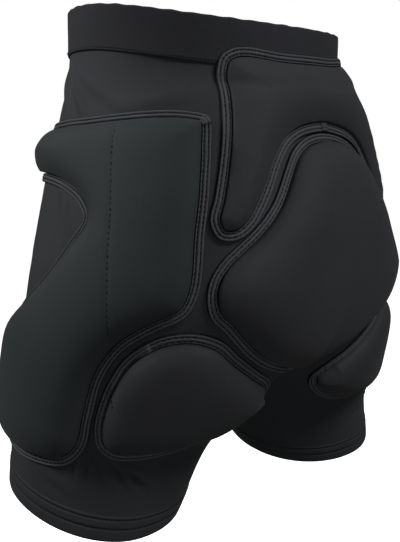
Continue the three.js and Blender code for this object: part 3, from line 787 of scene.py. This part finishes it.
def cushion_sheet(pad, chart):
    """The cushion's spots in its chart: rings close to the edge and a honeycomb inside, joined into
    the triangles that fill the edge, with each spot's distance from the edge."""
    outline, step = outline_of(pad, spacing=2.4)
    inwards = inwards_of(outline, step, chart)
    edge = outline + inwards * TAPE_WIDTH
    rings = np.concatenate([edge + inwards * inset for inset in EDGE_RINGS])
    low, high = edge.min(0), edge.max(0)
    row_step = CUSHION_GRAIN * math.sqrt(0.75)
    grid_y = np.arange(low[1], high[1], row_step)
    grid_x = np.arange(low[0] - CUSHION_GRAIN, high[0], CUSHION_GRAIN)
    comb = np.stack(np.meshgrid(grid_x, grid_y), -1)
    comb[1::2, :, 0] += CUSHION_GRAIN / 2
    comb = comb.reshape(-1, 2)
    ahead = np.roll(edge, -1, 0)
    above = (edge[:, 1] > comb[:, 1:]) != (ahead[:, 1] > comb[:, 1:])
    run, fall = (ahead - edge).T
    slope = run / np.where(fall == 0, 1e-9, fall)
    crossing = edge[:, 0] + slope * (comb[:, 1:] - edge[:, 1])
    inside = (above & (comb[:, :1] < crossing)).sum(1) % 2 == 1
    comb = comb[inside]
    to_edge = np.linalg.norm(comb[:, None] - edge[None], axis=2).min(1)
    comb = comb[to_edge > EDGE_RINGS[-1] + CUSHION_GRAIN * 0.7]
    count = len(edge)
    near = np.linalg.norm(rings[count:, None] - edge[None], axis=2).min(1)
    keep = near > np.repeat(EDGE_RINGS[1:], count) * 0.8
    spots = np.concatenate([edge, rings[count:][keep], comb])
    loop = [(n, (n + 1) % count) for n in range(count)]
    verts, _, faces, *_ = delaunay_2d_cdt([Vector(p) for p in spots.tolist()], loop, [], 1, 1e-5)
    spots = np.array([tuple(v) for v in verts])
    laid, laid_edge = mixed(chart, "place", spots), mixed(chart, "place", edge)
    fine_edge = np.concatenate([laid_edge, (laid_edge + np.roll(laid_edge, -1, 0)) / 2])
    away = np.sqrt(sum((laid[:, n, None] - fine_edge[None, :, n]) ** 2 for n in range(3)))
    distance, nearest = away.min(1), away.argmin(1) % count
    distance[:count] = 0
    lean = smooth_step(distance, 0, LEAN_RISE) * (1 - smooth_step(distance, LEAN_RISE, LEAN_FALL))
    return {
        "spots": spots, "faces": np.array(faces), "distance": distance,
        "edge_count": count, "edge": fine_edge,
        "leaning": spots - inwards[nearest] * lean[:, None] * pad["lean_out"],
    }


pad_knit = {"wale": 0.9, "roughness": 0.58, "sheen": 0.02, "relief": 0.05}
pad_finishes = {
    "middle": knit_finish("middle_pad_knit", (0.0088, 0.0092, 0.0104), (0.0256, 0.0264, 0.0284), **pad_knit),
    "side": knit_finish("side_pad_knit", (0.0070, 0.0085, 0.0092), (0.0220, 0.0258, 0.0270), **pad_knit),
}


def groove(spots, path, depth, wide):
    """A sewn channel: how far the cloth is drawn down at each spot, by its distance from a path."""
    start, end = path[:-1], path[1:]
    run = end - start
    t = np.clip(((spots[:, None] - start) * run).sum(2) / (run**2).sum(1), 0, 1)
    distance = np.linalg.norm(spots[:, None] - (start + run * t[..., None]), axis=2).min(1)
    return depth * np.exp(-((distance / wide) ** 2))


# The line sewn down each hip cushion: its level and its turn in degrees at each row
QUILT_ROWS = np.array([
    [104, 22.0], [130, 23.0], [152, 24.0], [199, 26.0], [245, 30.0], [290, 33.5], [322, 36.0],
])
quilt_level, quilt_turn = QUILT_ROWS.T
quilt_line = np.stack([
    np.radians(quilt_turn - HIP_PAD["turn"]) * HIP_PAD["reach"], quilt_level - HIP_PAD["top"],
], -1)


def quilt_depth(spots):
    """The sewn line's channel: a narrow groove in a wide shallow one."""
    return groove(spots, quilt_line, depth=0.8, wide=1.5) + groove(spots, quilt_line, depth=0.25, wide=5)


UNDERSIDE = 0.4


def cushion(name, node, pad, chart, sheet, mirror):
    """A closed cushion: the crowned cloth above, and the same triangles turned over on the body."""
    height = cushion_height(pad, sheet["distance"])
    if pad is HIP_PAD:
        height = height - quilt_depth(sheet["spots"])
    top = lay_on(chart, sheet["leaning"], height, mirror)
    under = lay_on(chart, sheet["spots"], np.full(len(height), UNDERSIDE), mirror)
    count, total = sheet["edge_count"], len(height)
    ahead = (np.arange(count) + 1) % count
    wall = np.stack([np.arange(count), ahead, ahead + total, np.arange(count) + total], -1)
    finish = pad_finishes["side" if pad is HIP_PAD else "middle"]
    piece = new_piece(
        name, np.concatenate([top, under]), [sheet["faces"], sheet["faces"][:, ::-1] + total, wall],
        np.concatenate([sheet["spots"], sheet["spots"]]), finish,
    )
    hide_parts(node)


pads = {}
pad_kinds = {"hip_pad": HIP_PAD, "seat_pad": SEAT_PAD, "lumbar_pad": LUMBAR_PAD, "tail_pad": TAIL_PAD}
for pad_name, pad in pad_kinds.items():
    chart = lay_chart(pad)
    sheet = cushion_sheet(pad, chart)
    for side in ("left", "right") if "outline" in pad else ("",):
        node = f"{pad_name}_{side}" if side else pad_name
        pads[node] = (pad, chart, side == "right", sheet)
        cushion(f"{node}_cushion", node, pad, chart, sheet, side == "right")


# The tapes: a folded band of black knit sewn over each cushion's raw edge with two rows of stitches,
# which lie in grooves. Its ends lap over each other, and the upper end stands up a little.
# Its section, from the cushion's side to the shell's: how far in from the outer edge, and how high
STITCH_ROWS = [6.20, 2.90]
STITCH_FLOOR = 2.35
TAPE_FOOT = 0.30
TAPE_PROFILE = np.array([
    [8.10, TAPE_FOOT], [8.05, 1.20], [7.90, 2.20], [7.60, 2.85], [7.20, 3.05], [6.80, 2.90], [6.50, 2.50],
    [STITCH_ROWS[0], STITCH_FLOOR], [5.90, 2.50], [5.55, 3.00], [4.95, 3.40], [4.20, 3.40], [3.55, 3.05],
    [3.20, 2.50], [STITCH_ROWS[1], STITCH_FLOOR], [2.60, 2.50], [2.25, 2.90], [1.60, 3.20], [0.85, 2.95],
    [0.20, 2.10], [0.02, 1.10], [0.00, TAPE_FOOT],
])
STITCH_LONG, STITCH_PITCH, STITCH_THICK = 2.3, 3.9, 0.50
STITCH_RISE = 0.25
PROFILE_RUN = run_of(TAPE_PROFILE)
PROFILE_LONG = PROFILE_RUN[-1]
# Painted light: the tape's cloth gets a lighter tone than the cushions' black cloth, standing in for the
# light its ridges catch.
tape_finish_painted_light_and_shade = knit_finish(
    "binding_knit_painted_light_and_shade", dark=(0.020, 0.0214, 0.0242), light=(0.053, 0.0560, 0.0620),
    wale=0.7, roughness=0.55, sheen=0.02, relief=0.10,
)
# Painted shade: the tape's colour is darkened where its two edges are drawn into the creases and along
# its sewn grooves, standing in for the shadow there. Each row of these tables is a run over the section
# and the share of the tone that is left there
CUSHION_CREASE_SHADE = [(0.0, 0.03), (1.9, 0.1), (2.8, 1.0)]
SHELL_CREASE_SHADE = [(PROFILE_LONG - 3.0, 1.0), (PROFILE_LONG - 2.1, 0.1), (PROFILE_LONG, 0.03)]
GROOVE_SHADE = [(-0.7, 1.0), (-0.2, 0.6), (0.2, 0.6), (0.7, 1.0)]
over_tape = tape_finish_painted_light_and_shade.along()[1] * (1 / (PROFILE_LONG * MM))
painted_crease_and_groove_shade = tape_finish_painted_light_and_shade.node("ShaderNodeValToRGB", None, {"Fac": over_tape})
ramp = painted_crease_and_groove_shade.socket.node.color_ramp
groove_runs = [PROFILE_RUN[np.abs(TAPE_PROFILE[:, 0] - row).argmin()] for row in STITCH_ROWS]
stops = CUSHION_CREASE_SHADE + SHELL_CREASE_SHADE
stops += [(middle + off, value) for middle in groove_runs for off, value in GROOVE_SHADE]
for n, (run, value) in enumerate(sorted(stops)):
    stop = ramp.elements[n] if n < len(ramp.elements) else ramp.elements.new(1.0)
    stop.position = run / PROFILE_LONG
    stop.color = (value, value, value, 1)
plain_tone = Link(tape_finish_painted_light_and_shade, tape_finish_painted_light_and_shade.shader.inputs["Base Color"].links[0].from_socket)
# The tape's tone multiplied by the painted shade of its creases and grooves.
tape_finish_painted_light_and_shade.feed("Base Color", tape_finish_painted_light_and_shade.node(
    "ShaderNodeMix", {"data_type": "RGBA", "blend_type": "MULTIPLY"},
    {0: 1.0, 6: plain_tone, 7: painted_crease_and_groove_shade}, output=2,
))
thread_finish = Finish("black_thread", Roughness=0.55, Specular_IOR_Level=0.05)
thread_across, thread_down = thread_finish.along()
thread_twist = thread_finish.ripple(thread_across + thread_down, 0.5) * 0.5 + 0.5
thread_colour = thread_finish.blend_colour(thread_twist, (0.001, 0.001, 0.0011), (0.003, 0.003, 0.0033))
thread_finish.feed("Base Color", thread_colour)
thread_finish.feed("Normal", thread_finish.bump(thread_twist, 0.0001, 0.5))


# A stitch's shape: share of its length, share of its thickness, and how high its middle lies
STITCH_SHAPE = np.array([
    [0.00, 0.25, -0.35], [0.12, 0.85, 0.00], [0.50, 1.00, 0.18], [0.88, 0.85, 0.00], [1.00, 0.25, -0.35],
])
STITCH_SIDES = 6


def stitches(name, lines, thick=STITCH_THICK):
    """Stitches in one mesh: each is a short six-sided rod, thin and sunk at both ends. lines hold the
    two ends of every stitch and its way out."""
    first, last, out = lines
    way = last - first
    side = unit(np.cross(way, out))
    t, width, rise = STITCH_SHAPE.T
    spin = np.linspace(0, 2 * math.pi, STITCH_SIDES, endpoint=False)
    middle = first[:, None] + way[:, None] * t[None, :, None] + out[:, None] * rise[None, :, None]
    rod = (
        middle[:, :, None] + side[:, None, None] * (thick * width[:, None] * np.cos(spin))[None, ..., None]
        + out[:, None, None] * (thick * width[:, None] * np.sin(spin))[None, ..., None]
    )
    count, rings, sides = rod.shape[:3]
    one = grid_faces(rings, sides, False, True)
    starts = (np.arange(count) * rings * sides)[:, None, None]
    sheets = (one[None] + starts).reshape(-1, 4)
    caps = np.stack([np.arange(sides), np.arange(sides)[::-1] + (rings - 1) * sides])
    caps = (caps[None] + starts).reshape(-1, sides)
    around = np.broadcast_to(spin * thick, rod.shape[:3])
    chart = np.stack([np.broadcast_to(t[None, :, None] * STITCH_LONG, rod.shape[:3]), around], -1)
    new_piece(name, rod, [sheets, caps], chart, thread_finish, weld=1e-7)


def joined(parts):
    """Several rows of stitches as one: their first ends, last ends and ways out, each end to end."""
    return [np.concatenate(part) for part in zip(*parts)]


PUCKER_DEPTH, SAG_DEPTH, SAG_TURN = 0.10, 0.12, 0.11


def stitch_row(line, shift, chart, mirror):
    """One row of stitches at even steps of a closed line of the chart, which starts shift along it."""
    closed = np.vstack([line, line[:1]])
    long = run_of(closed)[-1]
    start = np.linspace(0, long, int(long / STITCH_PITCH), endpoint=False) + shift

    def at(where, height):
        spot = read_along(closed, where % long)
        return lay_on(chart, spot, np.full(len(spot), height), mirror)

    low = STITCH_FLOOR + STITCH_RISE
    first, last = at(start, low), at(start + STITCH_LONG, low)
    out = at(start + STITCH_LONG / 2, low + 1) - (first + last) / 2
    return first, last, unit(out)


def tape_and_stitches(node, pad, chart, mirror):
    """The tape is its profile carried round the pad's edge; the stitches lie in its two grooves."""
    outline, step = outline_of(pad, spacing=1.5)
    inwards = inwards_of(outline, step, chart)
    spots = outline[None] + inwards[None] * TAPE_PROFILE[:, 0, None, None]
    run = np.arange(len(outline)) * step
    height = TAPE_PROFILE[:, 1, None] + 0 * run
    pucker = PUCKER_DEPTH * np.sin(run * (math.pi / STITCH_PITCH)) + SAG_DEPTH * np.sin(run * SAG_TURN)
    height = height + pucker * smooth_step(height, 0.5, 1.6)
    points = lay_on(chart, spots, height, mirror)
    tape_chart = np.stack(np.broadcast_arrays(run[None, :], PROFILE_RUN[:, None]), -1)
    faces = grid_faces(len(points), len(outline), True, True)
    piece = new_piece(f"{node}_tape", points, faces, tape_chart, tape_finish_painted_light_and_shade)
    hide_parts(f"{node}_binding")
    rows = [stitch_row(outline + inwards * inset, inset, chart, mirror) for inset in STITCH_ROWS]
    stitches(f"{node}_stitches", joined(rows))


# Where each tape's ends lap over each other, as shares of the pad's width and height
LAPS = {
    "hip_pad": (0.40, 0.010), "seat_pad": (-0.36, 0.12), "lumbar_pad": (0.0, 0.47), "tail_pad": (0.0, 1.0),
}
LAP_LONG, LAP_LIFT, LAP_SLOPE = 13, 1.7, 0.5
TAPE_MIDDLE = 4.15


def tape_lap(node, pad, chart, mirror):
    """The tape's upper end: a short length of the same profile, raised over the lower end, whose
    height sinks to the tape below at both ends of its run."""
    outline, step = outline_of(pad, spacing=0.8)
    inwards = inwards_of(outline, step, chart)
    share = next(value for key, value in LAPS.items() if node.startswith(key))
    middle = np.linalg.norm(outline - np.array(share) * [pad["width"], pad["height"]], axis=1).argmin()
    half = int(LAP_LONG / step / 2)
    picked = (middle + np.arange(-half, half + 1)) % len(outline)
    t = np.linspace(-1, 1, len(picked))
    rounded = (1 - np.abs(t) ** 6) ** 0.5
    lift = LAP_LIFT + LAP_SLOPE * t
    inset = TAPE_MIDDLE + (TAPE_PROFILE[:, 0, None] - TAPE_MIDDLE) * (0.82 + 0.16 * rounded)
    spots = outline[picked][None] + inwards[picked][None] * inset[..., None]
    height = TAPE_FOOT + (TAPE_PROFILE[:, 1, None] - TAPE_FOOT + lift) * rounded
    height = np.where(TAPE_PROFILE[:, 1, None] == TAPE_FOOT, TAPE_FOOT, height)
    points = lay_on(chart, spots, height, mirror)
    lap_chart = np.stack(np.broadcast_arrays(np.arange(len(picked)) * step, PROFILE_RUN[:, None]), -1)
    faces = grid_faces(len(points), len(picked), True, False)
    new_piece(f"{node}_tape_end", points, faces, lap_chart, tape_finish_painted_light_and_shade, weld=0.00005)


for node, (pad, chart, mirror, sheet) in pads.items():
    tape_and_stitches(node, pad, chart, mirror)
    tape_lap(node, pad, chart, mirror)


# The seams: one row of stitches down each hip cushion, two rows round each hem where the cloth is
# turned up, and one row where the waistband is sewn to the shell.
def along_line(points, outs, long, pitch):
    """Stitches at even steps of a line that is given by its points and the ways out there."""
    run = run_of(points)
    start = np.arange(0, run[-1] - long, pitch)
    out = np.stack([np.interp(start + long / 2, run, column) for column in outs.T], -1)
    return read_along(points, start), read_along(points, start + long), unit(out)


QUILT_FINE, RING_FINE = 400, 500
for side in ("left", "right"):
    pad, chart, mirror, sheet = pads[f"hip_pad_{side}"]
    spots = read_along(quilt_line, np.linspace(0, run_of(quilt_line)[-1], QUILT_FINE))
    laid = mixed(chart, "place", spots)
    away = np.sqrt(sum((laid[:, n, None] - sheet["edge"][None, :, n]) ** 2 for n in range(3))).min(1)
    height = cushion_height(pad, away) - quilt_depth(spots)
    line, above = (lay_on(chart, spots, height + lift, mirror) for lift in (0.1, 1.1))
    row = along_line(line, above - line, long=2.6, pitch=4.6)
    stitches(f"hip_pad_{side}_quilting", row)


def ring_line(level, grow, mirror):
    """One half of a ring of the body, grown outwards, and the ways out there."""
    level = np.full(RING_FINE, float(level))
    front, back = ring_end(level[:1], grow, -1), ring_end(level[:1], grow, 1)
    angle = front + (back - front) * np.linspace(0, 1, RING_FINE)
    inner, outer = ring_point(level, angle, grow), ring_point(level, angle, grow + 1)
    inner, outer = (stepped(mirrored(p) if mirror else p) for p in (inner, outer))
    return inner, outer - inner


for side, mirror in (("left", False), ("right", True)):
    rings = [ring_line(HEM_SEAM + down, 0.10, mirror) for down in HEM_ROWS]
    hem_rows = [along_line(*ring, long=2.2, pitch=3.4) for ring in rings]
    stitches(f"hem_stitches_{side}", joined(hem_rows), thick=0.42)
WAIST_SEAM = BAND_HEIGHT - 2.2
waist_rings = [ring_line(WAIST_SEAM, GAP + BAND_WALL + 0.05, mirror) for mirror in (False, True)]
waist_rows = [along_line(*ring, long=2.0, pitch=3.0) for ring in waist_rings]
stitches("waist_seam_stitches", joined(waist_rows), thick=0.26)
